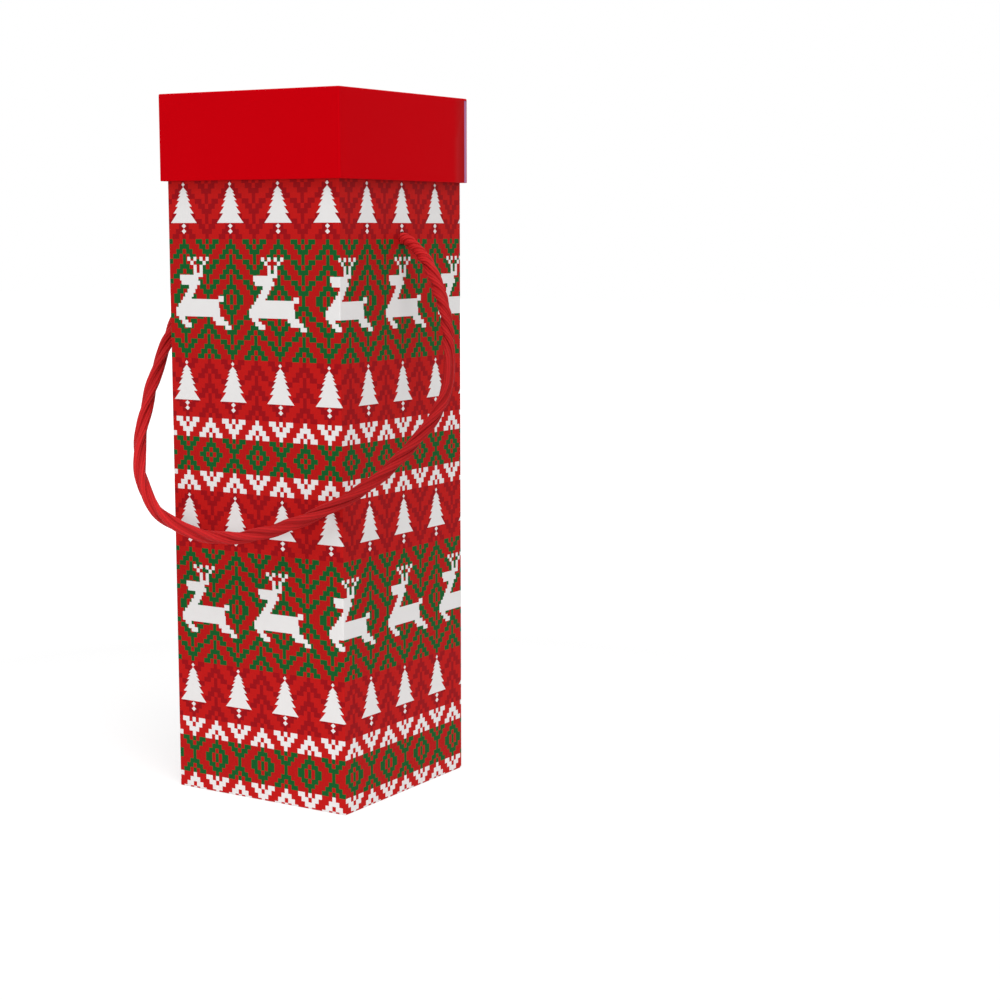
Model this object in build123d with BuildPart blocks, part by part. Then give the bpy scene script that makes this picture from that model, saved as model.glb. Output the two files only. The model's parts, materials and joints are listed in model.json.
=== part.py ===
"""Tall square box for one bottle, with a deep lift-off lid and a twisted rope handle.

All sizes are in millimetres. The origin is the centre of the box's underside, +Z is up,
-Y is the front, where the rope hangs, and the rope goes through the walls at -X and +X.
"""

from build123d import *
from math import cos, pi, radians, sin, tan
import os

os.makedirs("parts", exist_ok=True)

# Outer sizes of the closed box
body_width = 100.0
closed_height = 334.0
lid_height = 40.5
edge_radius = 0.5

# Boards and papers
base_board = 2.0
lid_board = 1.5
wrap_paper = 0.2
lining_paper = 0.2
stay_paper = 0.1
stay_leg = 15.0
rim_turn_in = 18.0
under_turn_in = 15.0
lining_drop = 9.0
sheet_margin = 2.0
bare_strip = 2.5
bare_strip_drop = 1.1

# Fits
lid_gap = 0.5
lining_gap = 0.3
rope_gap = 0.4
knot_gap = 0.3

# Rope handle
rope_diameter = 6.0
rope_height = 267.0
hang_angle = 25.0
knot_diameter = 14.6
knot_end_diameter = 9.0
knot_length = 11.0
knot_grip = 3.5

# Heights that follow from the sizes above
under_sheet_top = lining_paper
floor_under = under_sheet_top + wrap_paper
floor_top = floor_under + base_board
rim_top = closed_height - wrap_paper - lid_board - lining_paper
wall_top = rim_top - wrap_paper
lid_edge = closed_height - lid_height
skirt_bottom = lid_edge + wrap_paper
lid_board_under = rim_top + lining_paper
lid_board_top = closed_height - wrap_paper

# Half widths of the base, from the outside in
base_half = body_width / 2
stay_half = base_half - wrap_paper
board_half = stay_half - stay_paper
room_half = board_half - base_board
flap_half = room_half - wrap_paper
lining_half = flap_half - lining_paper

# Half widths of the lid, from the inside out
lid_room_half = base_half + lid_gap
skirt_in_half = lid_room_half + wrap_paper
skirt_half = skirt_in_half + lid_board
lid_stay_half = skirt_half + stay_paper
lid_half = lid_stay_half + wrap_paper

# Radii of the upright edges, from the wrap inwards
stay_radius = edge_radius - wrap_paper
board_radius = stay_radius - stay_paper

# Rope holes and the inner ends of the rope
hole_radius = rope_diameter / 2 + rope_gap
knot_face = lining_half - knot_gap
rope_end = knot_face - knot_grip
corners = {
    "front_left": (-1, -1),
    "front_right": (1, -1),
    "back_left": (-1, 1),
    "back_right": (1, 1),
}


def wall_board(x, y, long_x, long_y, bottom, top, rounded, drilled):
    """One upright board. Rounded ones carry the upright edges, drilled ones let the rope through."""
    with BuildPart() as wall:
        with BuildSketch(Plane.XY.offset(bottom)):
            with Locations((x, y)):
                Rectangle(long_x, long_y)
        extrude(amount=top - bottom)
        if rounded:
            outside = wall.edges().filter_by(Axis.Z).group_by(lambda edge: abs(edge.center().Y))[-1]
            fillet(outside, board_radius)
        if drilled:
            with BuildSketch(Plane.YZ.offset(x)):
                with Locations((0, rope_height)):
                    Circle(hole_radius)
            extrude(amount=long_x, both=True, mode=Mode.SUBTRACT)
    return wall


def corner_stay(side_x, side_y, half, bottom, top):
    """Gummed paper strip folded round one upright edge, under the wrap."""
    with BuildPart() as stay:
        with BuildSketch(Plane.XY.offset(bottom)):
            RectangleRounded(2 * half, 2 * half, stay_radius)
            RectangleRounded(
                2 * (half - stay_paper), 2 * (half - stay_paper), board_radius, mode=Mode.SUBTRACT
            )
            with Locations((side_x * (half - stay_leg / 2), side_y * (half - stay_leg / 2))):
                Rectangle(stay_leg, stay_leg, mode=Mode.INTERSECT)
        extrude(amount=top - bottom)
    return stay


# Base: the floor board, with the four wall boards standing on it
with BuildPart() as base_floor_board:
    with BuildSketch(Plane.XY.offset(floor_under)):
        RectangleRounded(2 * board_half, 2 * board_half, board_radius)
    extrude(amount=base_board)
base_floor_board.part.label = "base_floor_board"
export_step(base_floor_board.part, "parts/base_floor_board.step")

for side, sign in {"front": -1, "back": 1}.items():
    base_wide_board = wall_board(
        0, sign * (board_half - base_board / 2), 2 * board_half, base_board,
        floor_top, wall_top, rounded=True, drilled=False,
    )
    base_wide_board.part.label = f"base_{side}_board"
    export_step(base_wide_board.part, f"parts/base_{side}_board.step")

for side, sign in {"left": -1, "right": 1}.items():
    base_side_board = wall_board(
        sign * (board_half - base_board / 2), 0, base_board, 2 * room_half,
        floor_top, wall_top, rounded=False, drilled=True,
    )
    base_side_board.part.label = f"base_{side}_board"
    export_step(base_side_board.part, f"parts/base_{side}_board.step")

for corner, (side_x, side_y) in corners.items():
    base_stay = corner_stay(side_x, side_y, stay_half, floor_under, wall_top)
    base_stay.part.label = f"base_stay_{corner}"
    export_step(base_stay.part, f"parts/base_stay_{corner}.step")

# Base wrap: printed paper round the walls, turned in over the rim and in under the floor
with BuildPart() as base_wrap:
    with BuildSketch(Plane.XY.offset(under_sheet_top)):
        RectangleRounded(body_width, body_width, edge_radius)
    extrude(amount=rim_top - under_sheet_top)
    with BuildSketch(Plane.XY.offset(floor_under)):
        RectangleRounded(2 * stay_half, 2 * stay_half, stay_radius)
    extrude(amount=wall_top - floor_under, mode=Mode.SUBTRACT)
    with BuildSketch(Plane.XY.offset(under_sheet_top)):
        Rectangle(2 * (base_half - under_turn_in), 2 * (base_half - under_turn_in))
    extrude(amount=wrap_paper, mode=Mode.SUBTRACT)
    with BuildSketch(Plane.XY.offset(rim_top - rim_turn_in)):
        Rectangle(2 * room_half, 2 * room_half)
    extrude(amount=rim_turn_in)
    with BuildSketch(Plane.XY.offset(rim_top - rim_turn_in)):
        Rectangle(2 * flap_half, 2 * flap_half)
    extrude(amount=rim_turn_in, mode=Mode.SUBTRACT)
    with BuildSketch(Plane.YZ):
        with Locations((0, rope_height)):
            Circle(hole_radius)
    extrude(amount=body_width, both=True, mode=Mode.SUBTRACT)
base_wrap.part.label = "base_wrap"
export_step(base_wrap.part, "parts/base_wrap.step")

# Sheet that covers the wrap's turned-in edges under the floor, and that the box stands on
with BuildPart() as base_under_sheet:
    with BuildSketch():
        Rectangle(body_width - 2 * sheet_margin, body_width - 2 * sheet_margin)
    extrude(amount=lining_paper)
base_under_sheet.part.label = "base_under_sheet"
export_step(base_under_sheet.part, "parts/base_under_sheet.step")

# Paper inside the base: a square tube over the turned-in wrap, and a sheet on the floor
with BuildPart() as base_lining:
    with BuildSketch(Plane.XY.offset(floor_top + lining_paper)):
        Rectangle(2 * flap_half, 2 * flap_half)
        Rectangle(2 * lining_half, 2 * lining_half, mode=Mode.SUBTRACT)
    extrude(amount=rim_top - lining_drop - floor_top - lining_paper)
    with BuildSketch(Plane.YZ):
        with Locations((0, rope_height)):
            Circle(hole_radius)
    extrude(amount=body_width, both=True, mode=Mode.SUBTRACT)
base_lining.part.label = "base_lining"
export_step(base_lining.part, "parts/base_lining.step")

with BuildPart() as base_floor_sheet:
    with BuildSketch(Plane.XY.offset(floor_top)):
        Rectangle(2 * (room_half - lining_gap), 2 * (room_half - lining_gap))
    extrude(amount=lining_paper)
base_floor_sheet.part.label = "base_floor_sheet"
export_step(base_floor_sheet.part, "parts/base_floor_sheet.step")

# Lid: the top board, with the four skirt boards hanging under its edges
with BuildPart() as lid_top_board:
    with BuildSketch(Plane.XY.offset(lid_board_under)):
        RectangleRounded(2 * skirt_half, 2 * skirt_half, board_radius)
    extrude(amount=lid_board)
lid_top_board.part.label = "lid_top_board"
export_step(lid_top_board.part, "parts/lid_top_board.step")

for side, sign in {"front": -1, "back": 1}.items():
    lid_wide_board = wall_board(
        0, sign * (skirt_half - lid_board / 2), 2 * skirt_half, lid_board,
        skirt_bottom, lid_board_under, rounded=True, drilled=False,
    )
    lid_wide_board.part.label = f"lid_{side}_board"
    export_step(lid_wide_board.part, f"parts/lid_{side}_board.step")

for side, sign in {"left": -1, "right": 1}.items():
    lid_side_board = wall_board(
        sign * (skirt_half - lid_board / 2), 0, lid_board, 2 * skirt_in_half,
        skirt_bottom, lid_board_under, rounded=False, drilled=False,
    )
    lid_side_board.part.label = f"lid_{side}_board"
    export_step(lid_side_board.part, f"parts/lid_{side}_board.step")

for corner, (side_x, side_y) in corners.items():
    lid_stay = corner_stay(side_x, side_y, lid_stay_half, skirt_bottom, lid_board_top)
    lid_stay.part.label = f"lid_stay_{corner}"
    export_step(lid_stay.part, f"parts/lid_stay_{corner}.step")

# Lid wrap: plain paper over the top and down the skirt, turned in up to the top board
with BuildPart() as lid_wrap:
    with BuildSketch(Plane.XY.offset(lid_edge)):
        RectangleRounded(2 * lid_half, 2 * lid_half, edge_radius)
    extrude(amount=lid_height)
    with BuildSketch(Plane.XY.offset(skirt_bottom)):
        RectangleRounded(2 * lid_stay_half, 2 * lid_stay_half, stay_radius)
    extrude(amount=lid_board_top - skirt_bottom, mode=Mode.SUBTRACT)
    with BuildSketch(Plane.XY.offset(lid_edge)):
        Rectangle(2 * skirt_in_half, 2 * skirt_in_half)
    extrude(amount=lid_board_under - lid_edge)
    with BuildSketch(Plane.XY.offset(lid_edge)):
        Rectangle(2 * lid_room_half, 2 * lid_room_half)
    extrude(amount=lid_board_under - lid_edge, mode=Mode.SUBTRACT)
    # The paper stops short of the back right edge, where the corner stay shows
    with BuildSketch(Plane.XY.offset(lid_edge)):
        with BuildLine():
            strip_in = (skirt_half, lid_half - bare_strip)
            strip_out = (lid_half + wrap_paper, lid_half - bare_strip)
            past_edge = (lid_half + wrap_paper, lid_half + wrap_paper)
            Polyline(strip_in, strip_out, past_edge, (skirt_half, skirt_half), strip_in)
        make_face()
    extrude(amount=lid_height - bare_strip_drop, mode=Mode.SUBTRACT)
lid_wrap.part.label = "lid_wrap"
export_step(lid_wrap.part, "parts/lid_wrap.step")

with BuildPart() as lid_lining:
    with BuildSketch(Plane.XY.offset(rim_top)):
        Rectangle(2 * (lid_room_half - lining_gap), 2 * (lid_room_half - lining_gap))
    extrude(amount=lining_paper)
lid_lining.part.label = "lid_lining"
export_step(lid_lining.part, "parts/lid_lining.step")

# Rope knots: a lump inside each side wall, with a blind hole that holds the rope's end
for side, sign in {"left": -1, "right": 1}.items():
    with BuildPart() as knot:
        with BuildSketch(Plane.XZ):
            with BuildLine():
                face = (sign * knot_face, rope_height)
                back = (sign * (knot_face - knot_length), rope_height)
                rise = (0, knot_end_diameter / 2)
                middle = (sign * (knot_face - knot_length / 2), rope_height + knot_diameter / 2)
                Line(face, Vector(face) + rise)
                ThreePointArc(Vector(face) + rise, middle, Vector(back) + rise)
                Polyline(Vector(back) + rise, back, face)
            make_face()
        revolve(axis=Axis((0, 0, rope_height), (1, 0, 0)))
        with BuildSketch(Plane.YZ.offset(sign * rope_end)):
            with Locations((0, rope_height)):
                Circle(rope_diameter / 2)
        extrude(amount=sign * knot_grip, mode=Mode.SUBTRACT)
    knot.part.label = f"rope_knot_{side}"
    export_step(knot.part, f"parts/rope_knot_{side}.step")

# Rope loop: it hangs in one plane that leans forward over the front edges. A point is its
# distance to the right of the middle, and its distance down the plane from the holes.
rope_route = [
    (rope_end, 0),
    (48.5, 0),
    (53.4, 1),
    (57.8, 4.5),
    (62.9, 8.2),
    (69.5, 14.4),
    (77, 25),
    (87.1, 41.9),
    (97.9, 78.4),
    (81.4, 106.3),
    (62.2, 126.4),
    (23.3, 147.3),
    (-12.8, 155.3),
    (-52.6, 145.9),
    (-73.3, 121),
    (-77.9, 86.2),
    (-75.3, 54.4),
    (-71, 34),
    (-65, 17),
    (-61, 8.4),
    (-57.6, 4),
    (-53.4, 0.9),
    (-48.5, 0),
    (-rope_end, 0),
]


def corner_radii(points):
    """Radius at each inner point of a route, as large as the runs on both sides of it allow."""
    radii = []
    for before, here, after in zip(points, points[1:], points[2:]):
        run_in = Vector(here) - Vector(before)
        run_out = Vector(after) - Vector(here)
        half_turn = radians(run_in.get_angle(run_out)) / 2
        radii.append(0.45 * min(run_in.length, run_out.length) / tan(half_turn))
    return radii


lean = radians(hang_angle)
rope_plane = Plane(
    origin=(0, 0, rope_height), x_dir=(1, 0, 0), z_dir=(0, cos(lean), -sin(lean))
)
rope_radii = corner_radii(rope_route)
with BuildPart() as rope_loop:
    with BuildLine(rope_plane) as rope_line:
        FilletPolyline(*rope_route, radius=rope_radii)
    with BuildSketch(Plane(origin=rope_line.line @ 0, z_dir=rope_line.line % 0)):
        Circle(rope_diameter / 2)
    sweep()
rope_loop.part.label = "rope_loop"
export_step(rope_loop.part, "parts/rope_loop.step")

rope_length = sum(edge.length for edge in rope_line.edges())
rope_section = pi * rope_diameter**2 / 4
print("rope radii:", [round(radius, 1) for radius in rope_radii])
print(f"rope length {rope_length:.1f}, tube volume {rope_loop.part.volume:.1f}, "
      f"section times length {rope_section * rope_length:.1f}")
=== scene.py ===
"""Tall paper box for one bottle, with a knit-pattern wrap, a red lift-off lid and a rope handle."""

import json
import math

import bpy
import numpy as np
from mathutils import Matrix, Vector


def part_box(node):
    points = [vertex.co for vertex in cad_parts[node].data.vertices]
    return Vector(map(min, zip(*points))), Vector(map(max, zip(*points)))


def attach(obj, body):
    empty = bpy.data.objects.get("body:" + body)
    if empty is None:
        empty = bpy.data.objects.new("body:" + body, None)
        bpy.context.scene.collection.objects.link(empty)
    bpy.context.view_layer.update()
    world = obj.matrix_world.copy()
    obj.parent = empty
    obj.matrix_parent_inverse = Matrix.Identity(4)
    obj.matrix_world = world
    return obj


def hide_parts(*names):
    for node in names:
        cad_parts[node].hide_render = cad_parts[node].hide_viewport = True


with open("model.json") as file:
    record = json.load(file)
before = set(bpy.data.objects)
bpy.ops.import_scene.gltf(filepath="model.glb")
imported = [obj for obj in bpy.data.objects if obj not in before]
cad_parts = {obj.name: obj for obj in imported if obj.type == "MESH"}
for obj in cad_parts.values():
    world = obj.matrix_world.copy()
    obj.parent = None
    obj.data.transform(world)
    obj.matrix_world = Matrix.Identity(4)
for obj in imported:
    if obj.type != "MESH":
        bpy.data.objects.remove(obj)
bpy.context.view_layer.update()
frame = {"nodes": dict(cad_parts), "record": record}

bl_info = {
    "name": "Wine box",
    "version": (1, 0, 0),
    "blender": (4, 5, 0),
    "location": "3D View > Sidebar > Wine box",
    "description": "Printed paper wrap, red lid cover, twisted rope handle and finishes of a wine box",
    "category": "Add Mesh",
}

MM = 0.001

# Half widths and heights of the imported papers, and the wall's side of the right knot, in metres
BASE_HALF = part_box("base_wrap")[1].x
BASE_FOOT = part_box("base_wrap")[0].z
BASE_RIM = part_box("base_wrap")[1].z
LID_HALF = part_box("lid_wrap")[1].x
LID_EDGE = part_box("lid_wrap")[0].z
LID_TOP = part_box("lid_wrap")[1].z
LID_INNER_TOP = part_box("lid_lining")[1].z
KNOT_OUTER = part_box("rope_knot_right")[1].x


# What a user would change

def length(name, description, default):
    return bpy.props.FloatProperty(
        name=name, description=description, default=default, min=0.0, unit="LENGTH", precision=5
    )


def angle(name, description, degrees):
    return bpy.props.FloatProperty(
        name=name, description=description, default=math.radians(degrees), subtype="ANGLE"
    )


def colour(name, description, default):
    return bpy.props.FloatVectorProperty(
        name=name, description=description, default=default, min=0.0, max=1.0, size=3, subtype="COLOR"
    )


def amount(name, description, default):
    return bpy.props.FloatProperty(name=name, description=description, default=default, min=0.0)


class PaperSizes(bpy.types.PropertyGroup):
    """Sizes of the printed wrap and of the lid's cover"""

    thickness: length("Paper", "Thickness of the wrap and of the lid's cover", 0.2 * MM)
    edge_radius: length("Edge radius", "Radius of the upright edges", 0.5 * MM)
    fold_radius: length("Fold radius", "Radius of the folds at the foot and at the rims", 0.3 * MM)
    top_radius: length("Top radius", "Radius of the fold round the lid's top", 0.7 * MM)
    turn_in: length("Turn-in", "How far the wrap goes down inside the rim", 18 * MM)
    under_turn_in: length("Turn-in below", "How far the wrap goes in under the floor", 15 * MM)
    base_flap: length("Wall", "From the wrap's outside to the face of its inner flap", 2.5 * MM)
    lid_flap: length("Lid wall", "From the cover's outside to the face of its inner flap", 2.0 * MM)
    lap: length("Lap", "How far the wrap's two ends overlap at the back", 12 * MM)
    hole_radius: length("Hole radius", "Radius of the rope's holes", 3.1 * MM)
    hole_height: length("Hole height", "Height of the rope's holes", 266.9 * MM)
    bare_width: length("Bare strip", "Width that the lid's cover leaves bare at one edge", 2.5 * MM)
    bare_top: length("Bare strip's top", "From the lid's top down to the bare strip", 1.1 * MM)


class RopeSizes(bpy.types.PropertyGroup):
    """Sizes of the rope handle"""

    diameter: length("Diameter", "Outer diameter of the twisted rope", 6.5 * MM)
    height: length("Height", "Height at which the rope goes through the walls", 267 * MM)
    lean: angle("Lean", "How far the hanging rope leans forward", 25)
    strands: bpy.props.IntProperty(
        name="Strands", description="Strands that the rope is twisted from", default=3, min=3, max=6
    )
    yarns: bpy.props.IntProperty(
        name="Yarns", description="Yarns seen round each strand", default=7, min=3, max=16
    )
    knot_diameter: length("Knot rope", "Diameter of the rope where it is pulled tight in a knot", 4.9 * MM)
    knot_lay: length("Knot lay", "Length of rope in which a knot's strands make one turn", 13 * MM)


class Finishes(bpy.types.PropertyGroup):
    """Colours of the papers, the inks and the rope"""

    red: colour("Red ink", "Ground of the print", (0.492, 0.0094, 0.0086))
    dark_red: colour("Dark red ink", "Lattice behind the trees", (0.304, 0.0054, 0.0085))
    green: colour("Green ink", "Lattice behind the deer", (0.0070, 0.1010, 0.0215))
    white: colour("White", "Paper left white in the print", (0.775, 0.762, 0.755))
    lid: colour("Lid", "Plain red paper of the lid", (0.548, 0.0001, 0.0035))
    rope: colour("Rope", "Red of the rope's yarns", (0.520, 0.0155, 0.0175))
    board: colour("Board", "Grey board", (0.36, 0.32, 0.27))
    stay: colour("Stay", "Gummed paper at the corners", (0.425, 0.185, 0.370))
    lining: colour("Lining", "White paper inside", (0.78, 0.77, 0.74))


class Studio(bpy.types.PropertyGroup):
    """Camera and light"""

    camera_place: bpy.props.FloatVectorProperty(
        name="Camera", description="Where the camera stands", default=(0.5853, -0.7795, 0.2699),
        subtype="TRANSLATION", unit="LENGTH",
    )
    camera_tilt: angle("Tilt", "Camera's angle from straight down", 82.3412)
    camera_turn: angle("Turn", "Camera's turn about the upright", 31.7045)
    lens: bpy.props.FloatProperty(
        name="Lens", description="Focal length on a 36 mm sensor, in millimetres", default=71.8166, min=1
    )
    sky: amount("Sky", "Light from all round", 0.58)
    key: amount("Key light", "Power of the large lamp high up at the front right, in watts", 515.0)
    fill: amount("Fill light", "Power of the low lamp in front, in watts", 5.5)
    floor: amount("Floor", "How much of the floor's brightness is its own, for the camera", 0.50)
    floor_grey: amount("Floor grey", "Grey of the floor that lights the box", 0.6)
    floor_glow: amount("Floor glow", "Brightness of the floor's own light, for the camera", 1.25)


# Diameter, place and aim of each lamp, in metres
LAMPS = {
    "Key": (6.0, (3.45, -2.9, 7.95), (0, 0, 0.15)),
    "Fill": (1.0, (0.3, -1.6, 0.3), (0, 0, 0.1)),
}
FLOOR_HALF = 6.0
# Within the first distance the floor is painted paler, a painted pool of light, and past the second it
# glows white, in millimetres
FLOOR_PALE, FLOOR_WHITE = 350.0, 800.0


# Shaders

class Value:
    """A number in a shader. Sums, products and comparisons of values add their Math nodes."""

    def __init__(self, shader, socket):
        self.shader = shader
        self.socket = socket

    def maths(self, operation, *terms):
        node = self.shader.node("Math", {"operation": operation}, dict(enumerate(terms)))
        return Value(self.shader, node.outputs[0])

    def __add__(self, other):
        return self.maths("ADD", self, other)

    def __radd__(self, other):
        return self.maths("ADD", other, self)

    def __sub__(self, other):
        return self.maths("SUBTRACT", self, other)

    def __rsub__(self, other):
        return self.maths("SUBTRACT", other, self)

    def __mul__(self, other):
        return self.maths("MULTIPLY", self, other)

    def __rmul__(self, other):
        return self.maths("MULTIPLY", other, self)

    def __truediv__(self, other):
        return self.maths("DIVIDE", self, other)

    def __mod__(self, other):
        return self.maths("FLOORED_MODULO", self, other)

    def __lt__(self, other):
        return self.maths("LESS_THAN", self, other)

    def __gt__(self, other):
        return self.maths("GREATER_THAN", self, other)

    def __or__(self, other):
        return self.maths("MAXIMUM", self, other)

    def __and__(self, other):
        return self.maths("MINIMUM", self, other)

    def __abs__(self):
        return self.maths("ABSOLUTE", self)

    def floor(self):
        return self.maths("FLOOR", self)

    def cos(self):
        return self.maths("COSINE", self)

    def within(self, low, high):
        """1 between low and high, otherwise 0."""
        return (self > low) * (self < high)


class Shader:
    """The nodes of a new material or world, which is its owner."""

    def __init__(self, owner):
        owner.use_nodes = True
        self.owner = owner
        self.tree = owner.node_tree
        self.tree.nodes.clear()

    def node(self, kind, settings=None, inputs=None):
        """One node: its type, then its settings, then the values or links of its sockets."""
        node = self.tree.nodes.new("ShaderNode" + kind)
        for name, value in (settings or {}).items():
            setattr(node, name, value)
        for name, value in (inputs or {}).items():
            if isinstance(value, Value):
                value = value.socket
            if isinstance(value, bpy.types.NodeSocket):
                self.tree.links.new(value, node.inputs[name])
            else:
                node.inputs[name].default_value = value
        return node

    def place(self):
        """Place on the piece, in millimetres."""
        coordinates = self.node("TexCoord").outputs["Object"]
        scaled = self.node("VectorMath", {"operation": "SCALE"}, {0: coordinates, "Scale": 1 / MM})
        return scaled.outputs[0]

    def split(self, vector):
        axes = self.node("SeparateXYZ", inputs={0: vector})
        return [Value(self, socket) for socket in axes.outputs]

    def on_map(self, name):
        """The two coordinates of a piece's own map, in millimetres."""
        read = self.node("UVMap", {"uv_map": name}).outputs[0]
        across, along, _ = self.split(read)
        return across / MM, along / MM

    def joined(self, x, y):
        return self.node("CombineXYZ", inputs={0: x, 1: y}).outputs[0]

    def grain(self, vector, size, detail=2.0, roughness=0.5):
        """Noise from -1 to 1 about 0, of about that size in millimetres."""
        noise = self.node(
            "TexNoise", inputs={
                "Vector": vector, "Scale": 1 / size, "Detail": detail, "Roughness": roughness,
            },
        )
        return Value(self, noise.outputs[0]) * 2.0 - 1.0

    def eased(self, value, low, high):
        """0 below low, 1 above high, and a smooth S between them."""
        step = self.node(
            "MapRange", {"interpolation_type": "SMOOTHSTEP"},
            {"Value": value, "From Min": low, "From Max": high},
        )
        return Value(self, step.outputs[0])

    def mix(self, share, first, second, how="MIX"):
        """Colours mixed by a share from 0 to 1."""
        mixed = self.node(
            "Mix", {"data_type": "RGBA", "blend_type": how}, {0: share, 6: first, 7: second}
        )
        return mixed.outputs[2]

    def shaded(self, paint, brightness):
        """A colour times a number."""
        grey = self.node("CombineColor", inputs={0: brightness, 1: brightness, 2: brightness})
        return self.mix(1.0, paint, grey.outputs[0], "MULTIPLY")

    def surface(self, paint, roughness, height, depth, constants):
        """The material's surface: its colour, roughness and relief, then what is the same all over."""
        bump = self.node("Bump", inputs={"Strength": 1.0, "Distance": depth, "Height": height})
        inputs = {"Base Color": paint, "Roughness": roughness, "Normal": bump.outputs[0], **constants}
        principled = self.node("BsdfPrincipled", inputs=inputs)
        self.node("OutputMaterial", inputs={"Surface": principled.outputs[0]})
        return self.owner


def rgba(paint):
    return (*paint, 1.0)


# The knit print, in millimetres on the wrap's sheet. Its rows count down from ROW_ZERO, and its
# columns count to both sides of COLUMN_ZERO.
STITCH_WIDTH = 2.0014
STITCH_HEIGHT = 7 / 3
ROW_ZERO = 266.5
COLUMN_ZERO = 9.45
# The rows from this one down are a little less high
LOW_ROW, LOW_STITCH_HEIGHT = 103, 2.285

# The pattern's number of rows, and the print's row where it starts afresh. Above that row the
# print starts with the pattern's row UPPER_START, and leaves out the pattern's row SKIPPED_ROW.
PATTERN_ROWS = 64
SHIFTED_ROW = 51
UPPER_START = 12
SKIPPED_ROW = 56

# Stretches of the pattern's rows, each from its first row to before its end: those of the lattice
# in each ink, and those where the chevrons are turned over
DARK_ROWS = ((0, 12), (36, 48))
GREEN_ROWS = ((12, 36), (52, 60))
PALE_ROWS = ((48, 52), (60, 64))
TURNED_ROWS = ((0, 24), (56, 64))
# Columns and rows of one chevron
CHEVRON_WIDTH, CHEVRON_HEIGHT = 7, 4

TREE_SPACING = 28.02
# Bands of trees: first row, end, and the place of the trees' tips, in rows
TREE_BANDS = ((0, 12, 1.64), (36, 48, 37.39))
# Tree tiers: first and last row, then half the width at both
TREE_TIERS = (
    (0.0, 1.06, 0.0, 2.5), (1.06, 1.78, 1.5, 3.15), (1.78, 2.68, 1.85, 4.0),
    (2.68, 3.88, 2.55, 5.0), (3.88, 5.25, 3.4, 6.2), (5.25, 7.15, 4.1, 7.9),
)
# Star and trunk: middle row, half the width, half the height in rows
TREE_DIAMONDS = ((-0.5, 1.0, 0.42), (7.75, 1.37, 0.5), (8.82, 1.37, 0.5))

DEER_SPACING, DEER_SIDE, DEER_TOP = 44.1, 3.75, 258.2
DEER_DROP = 63 * STITCH_HEIGHT
DEER_STITCH = (1.852, 1.877)
# Deer, in its own stitches: a row, then where the left or right outline steps to there
DEER_LEFT = (
    (4.5, 1.45), (5.95, 1.95), (7, 4.4), (8, 3.87), (9, 3.04), (10, 2.36), (10.5, 2.25),
    (10.9, 1.69), (11.67, 0.79), (12.63, 0.0),
)
DEER_RIGHT = (
    (4.5, 7.5), (5.95, 8.05), (7, 7.0), (8, 6.42), (9, 5.8), (10, 5.18), (10.5, 14.08), (12.63, 14.37),
)
DEER_HEAD, DEER_BELLY = 4.5, 14.9
# Blocks: left, right, top and bottom
DEER_TAIL_AND_LEGS = (
    (14.0, 15.65, 9.65, 11.1), (0.9, 2.9, 14.85, 15.85), (1.9, 3.9, 15.8, 16.9),
    (2.9, 5.0, 16.5, 17.7), (12.1, 15.65, 14.85, 15.9), (13.0, 17.0, 15.9, 16.95),
    (16.05, 18.0, 16.95, 18.0),
)
ANTLER_MIDDLE = 7.5
# Antlers, the same left and right of their middle: from, to, top and bottom
ANTLERS = (
    (0.5, 1.5, 0, 1), (2.5, 3.5, 0, 1), (1.5, 2.5, 1, 2), (0.5, 1.5, 2, 4), (-1.0, 1.5, 4, 5),
)


def stepped(row, steps):
    """A number that changes at each step's row to that step's value."""
    total, last = 0.0, 0.0
    for at, value in steps:
        total = total + (row > at) * (value - last)
        last = value
    return total


def in_rows(row, stretches):
    """1 where a whole row lies in one of the stretches, which run from a row to before a row."""
    return sum(row.within(first - 0.5, end - 0.5) for first, end in stretches)


def deer_shape(across, height):
    """1 inside the running deer. Its place is counted in stitches from its nose and antlers."""
    x = (across - DEER_SIDE) % DEER_SPACING / DEER_STITCH[0]
    row = (DEER_TOP - height) % DEER_DROP / DEER_STITCH[1]
    body = (x > stepped(row, DEER_LEFT)) * (x < stepped(row, DEER_RIGHT))
    body = body * row.within(DEER_HEAD, DEER_BELLY)
    for left, right, top, bottom in DEER_TAIL_AND_LEGS:
        body = body | x.within(left, right) * row.within(top, bottom)
    aside = abs(x - ANTLER_MIDDLE)
    for inner, outer, top, bottom in ANTLERS:
        body = body | aside.within(inner, outer) * row.within(top, bottom)
    return body


def tree_shape(across, pattern_row):
    """1 inside a tree of stacked tiers, each a trapezium, with a star and a trunk of diamonds."""
    row, in_band = pattern_row, 0.0
    for first, end, tip in TREE_BANDS:
        here = pattern_row.within(first, end)
        row = row - tip * here
        in_band = in_band + here
    aside = abs((across - COLUMN_ZERO + TREE_SPACING / 2) % TREE_SPACING - TREE_SPACING / 2)
    shape = 0.0
    for first, last, narrow, wide in TREE_TIERS:
        edge = (row - first) * ((wide - narrow) / (last - first)) + narrow
        shape = shape + row.within(first, last) * (aside < edge)
    for middle, half_width, half_height in TREE_DIAMONDS:
        shape = shape + (aside / half_width + abs(row - middle) / half_height < 1)
    return shape * in_band


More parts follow.
